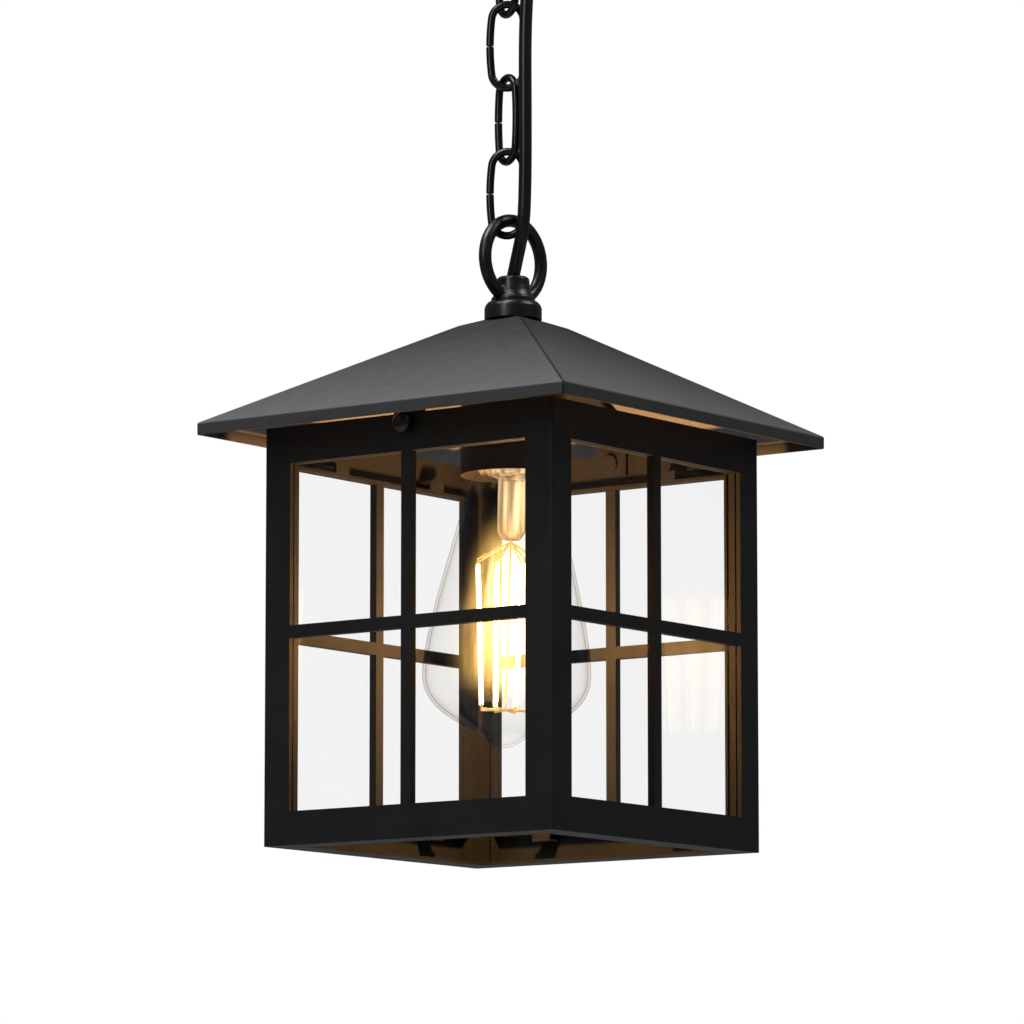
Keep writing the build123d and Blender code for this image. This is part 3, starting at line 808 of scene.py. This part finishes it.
def cord_line():
    """The cord's centreline, read from a NURBS spline through the route."""
    curve = bpy.data.curves.new("cord_route", "CURVE")
    curve.dimensions = "3D"
    spline = curve.splines.new("NURBS")
    spline.points.add(len(CORD_ROUTE) - 1)
    for point, (x, y, height) in zip(spline.points, CORD_ROUTE):
        point.co = (x * MM, y * MM, above_rim(height), 1)
    spline.order_u = 3
    spline.use_endpoint_u = True
    spline.resolution_u = 24
    holder = bpy.data.objects.new("cord_route", curve)
    line = [v.co.copy() for v in bpy.data.meshes.new_from_object(holder).vertices]
    bpy.data.objects.remove(holder)
    return line


def between(line, bottom, top):
    """The stretch of a rising line between two levels, with a point on each level."""
    def crossing(level):
        for a, b in zip(line, line[1:]):
            if a.z <= level < b.z:
                return a.lerp(b, (level - a.z) / (b.z - a.z))
        return line[0] if level <= line[0].z else line[-1]

    inside = [p for p in line if bottom + 1e-6 < p.z < top - 1e-6]
    return [crossing(bottom), *inside, crossing(top)]


def make_cord(jacket):
    """The cord in five spans, cut at the heights where the CAD spans begin."""
    line = cord_line()
    cuts = [low(f"cord_span_{number}").z for number in (4, 3, 2, 1)]
    levels = [line[0].z, *cuts, line[-1].z]
    for k, (bottom, top) in enumerate(zip(levels, levels[1:])):
        node = f"cord_span_{5 - k}"
        path = between(line, bottom, top)
        piece = swept(f"jacket_{node}", path, CORD_WIDTH * MM / 2, CORD_SIDES)
        place(piece, None, jacket, "cord_jacket", node)
        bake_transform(piece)


# ---------------------------------------------------------------- lamp
LAMP_WALL = 1.0
LAMP_SIDES = 96
CURVE_STEPS = 18  # outline points on each of the lamp's curves
NECK_HEIGHT = 145.0  # above the rim, where the glass enters its screw cap
GLASS_LEAN = radians(1.8)  # of the glass in the cap
GLASS_LEAN_TOWARDS = radians(216.4)  # from +X, the way its tip leans
PEAR = (  # outline of the lamp's glass, (radius, height above the rim), as cubic curves
    ((11.8, 148.0), (11.8, 143.8), (17.5, 142.6), (18.1, 133.0)),
    ((18.1, 133.0), (22.6, 113.0), (32.0, 82.0), (32.0, 66.0)),
    ((32.0, 66.0), (32.0, 55.0), (22.0, 49.5), (11.5, 44.7)),
    ((11.5, 44.7), (8.0, 43.1), (5.0, 38.6), (0.0, 38.6)),
)


def pear_line(inset):
    """The pear's outline in metres, drawn in by inset millimetres."""
    points = []
    for curve in PEAR:
        points += bezier(curve, CURVE_STEPS)
    points.append(PEAR[-1][-1])
    line = []
    for k, (r, z) in enumerate(points):
        before, after = points[max(k - 1, 0)], points[min(k + 1, len(points) - 1)]
        run = Vector((after[0] - before[0], after[1] - before[1])).normalized()
        inward = Vector((run.y, -run.x)) * inset
        r_in = 0.0 if k == len(points) - 1 else max(r + inward.x, 0)
        line.append((r_in * MM, above_rim(z + inward.y)))
    return line


def lean_matrix():
    """The tilt of the lamp's glass about the mouth of its screw cap."""
    mouth = Vector((0, 0, above_rim(NECK_HEIGHT)))
    axis = Vector((-sin(GLASS_LEAN_TOWARDS), cos(GLASS_LEAN_TOWARDS), 0))
    tilt = Matrix.Rotation(-GLASS_LEAN, 4, axis)
    return Matrix.Translation(mouth) @ tilt @ Matrix.Translation(-mouth)


def make_lamp(glass, cap, wire, stem_glass, lit, black, contact):
    outline = pear_line(0) + pear_line(LAMP_WALL)[::-1]
    pear = lathe("pear_glass", outline, LAMP_SIDES)
    pear.data.transform(lean_matrix())
    place(pear, "bulb", glass, "lamp_glass", "bulb_glass")
    dress("bulb_screw_cap", cap)
    dress("bulb_stem", stem_glass)
    dress("bulb_wires", wire)
    dress("bulb_filaments", lit)
    dress("bulb_insulator", black)
    dress("bulb_tip_contact", contact)


def make_holder(sheet, body, shell, contact):
    dress("socket_cup", sheet)
    dress("socket_body", body)
    dress("socket_screw_shell", shell)
    dress("socket_contact", contact)


# ---------------------------------------------------------------- light and setting
def softbox(name, location, aim, size, power):
    data = bpy.data.lights.new(name, "AREA")
    data.shape = "RECTANGLE"
    data.size, data.size_y = size
    data.energy = power
    light = bpy.data.objects.new(name, data)
    light.location = location
    light.rotation_euler = (Vector(aim) - Vector(location)).to_track_quat("-Z", "Y").to_euler()
    bpy.context.scene.collection.objects.link(light)


HEART_HEIGHT = 100.0  # what the studio lights aim at, in millimetres above the rim
GLOW_PLACE = (3.0, -4.0, 84.0)  # the lamp's light, clear of the wire on its axis
GLOW_RADIUS = 9.0


def make_lights():
    """Three soft boxes above the lantern, and the lamp's own light."""
    heart = Vector((0, 0, above_rim(HEART_HEIGHT)))
    softbox("overhead", heart + Vector((-0.3, -0.6, 1.6)), heart, (1.0, 1.0), 27)
    softbox("top_right", heart + Vector((1.2, 0.6, 1.6)), heart, (0.8, 0.8), 13)
    softbox("front_strip", heart + Vector((0, -1.8, 0.9)), heart, (0.3, 1.2), 8)
    glow = bpy.data.lights.new("lamp_glow", "POINT")
    glow.energy = 5.0
    glow.color = (1.0, 0.5, 0.17)
    glow.shadow_soft_size = GLOW_RADIUS * MM
    lamp = bpy.data.objects.new("lamp_glow", glow)
    x, y, height = GLOW_PLACE
    lamp.location = (x * MM, y * MM, above_rim(height))
    bpy.context.scene.collection.objects.link(lamp)
    lamp.parent = frame["bodies"]["bulb"]
    lamp.visible_glossy = False  # a panel of glass would mirror it as a ball


STUDIO_FILL = 0.12  # light from all round
BACKDROP = 1.0  # what the camera sees behind the lantern
FLOOR_DROP = 1.1  # metres from the rim down to the floor
FLOOR_HALF = 8.0


def make_world():
    """White all round for the camera, and a dim even fill for everything else."""
    world = bpy.data.worlds.new("studio")
    bpy.context.scene.world = world
    world.use_nodes = True
    tree = world.node_tree
    fill = tree.nodes["Background"]
    seen = tree.nodes.new("ShaderNodeBackground")
    for background, strength in ((fill, STUDIO_FILL), (seen, BACKDROP)):
        background.inputs["Color"].default_value = (1, 1, 1, 1)
        background.inputs["Strength"].default_value = strength
    path = tree.nodes.new("ShaderNodeLightPath")
    mix = tree.nodes.new("ShaderNodeMixShader")
    tree.links.new(path.outputs["Is Camera Ray"], mix.inputs["Fac"])
    tree.links.new(fill.outputs["Background"], mix.inputs[1])
    tree.links.new(seen.outputs["Background"], mix.inputs[2])
    tree.links.new(mix.outputs["Shader"], tree.nodes["World Output"].inputs["Surface"])
    bpy.context.scene.view_settings.view_transform = "Standard"


def make_floor():
    bm = bmesh.new()
    bmesh.ops.create_grid(bm, x_segments=1, y_segments=1, size=FLOOR_HALF)
    floor = keep(bm, "floor")
    floor.location.z = RIM - FLOOR_DROP
    floor.data.materials.append(plain("floor", (0.9, 0.9, 0.9), 0.9))


# ---------------------------------------------------------------- build
make_camera()
make_cord(cord_jacket())

SHEET = black_sheet()
IRON = black_cast()
ZINC = zinc()
RUBBER = bushing_rubber()
TIN = tin()
ENAMEL = chain_enamel()

make_frame(SHEET, thin_glass("pane_glass", (0.99, 0.99, 0.99), 0.02, (0.84, 0.87, 0.86), 4.0, 0.9))
make_roof(black_roof(), SHEET, ZINC, IRON)
make_loops(IRON, RUBBER, SHEET, ZINC)
for number, turn in enumerate(LINK_TURNS, start=1):
    make_link(number, turn, ENAMEL)
LAMP_GLASS = thin_glass("lamp_glass", (0.998, 0.993, 0.985), 0.03, (0.72, 0.48, 0.24), 14.0, 0.3)
LAMP_STEM = thin_glass("lamp_stem", (0.9, 0.78, 0.6), 0.05, (0.75, 0.42, 0.16), 1.4, 0.5)
make_lamp(
    # painted glow: emission in the lamp's glass and stem for the glare round the lit filaments
    painted_glow(LAMP_GLASS, (1.0, 0.58, 0.16), 2.0, 50.0, 130.0, 13.0, 5.0),
    brass("lamp_brass"),
    drawn_wire(),
    painted_glow(LAMP_STEM, (1.0, 0.74, 0.42), 1.1, 100.0, 160.0, 0.6, 2.2),
    lit_filament(),
    black_glass(),
    TIN,
)
make_holder(SHEET, porcelain(), brass("holder_brass"), TIN)
make_lights()
make_world()
make_floor()
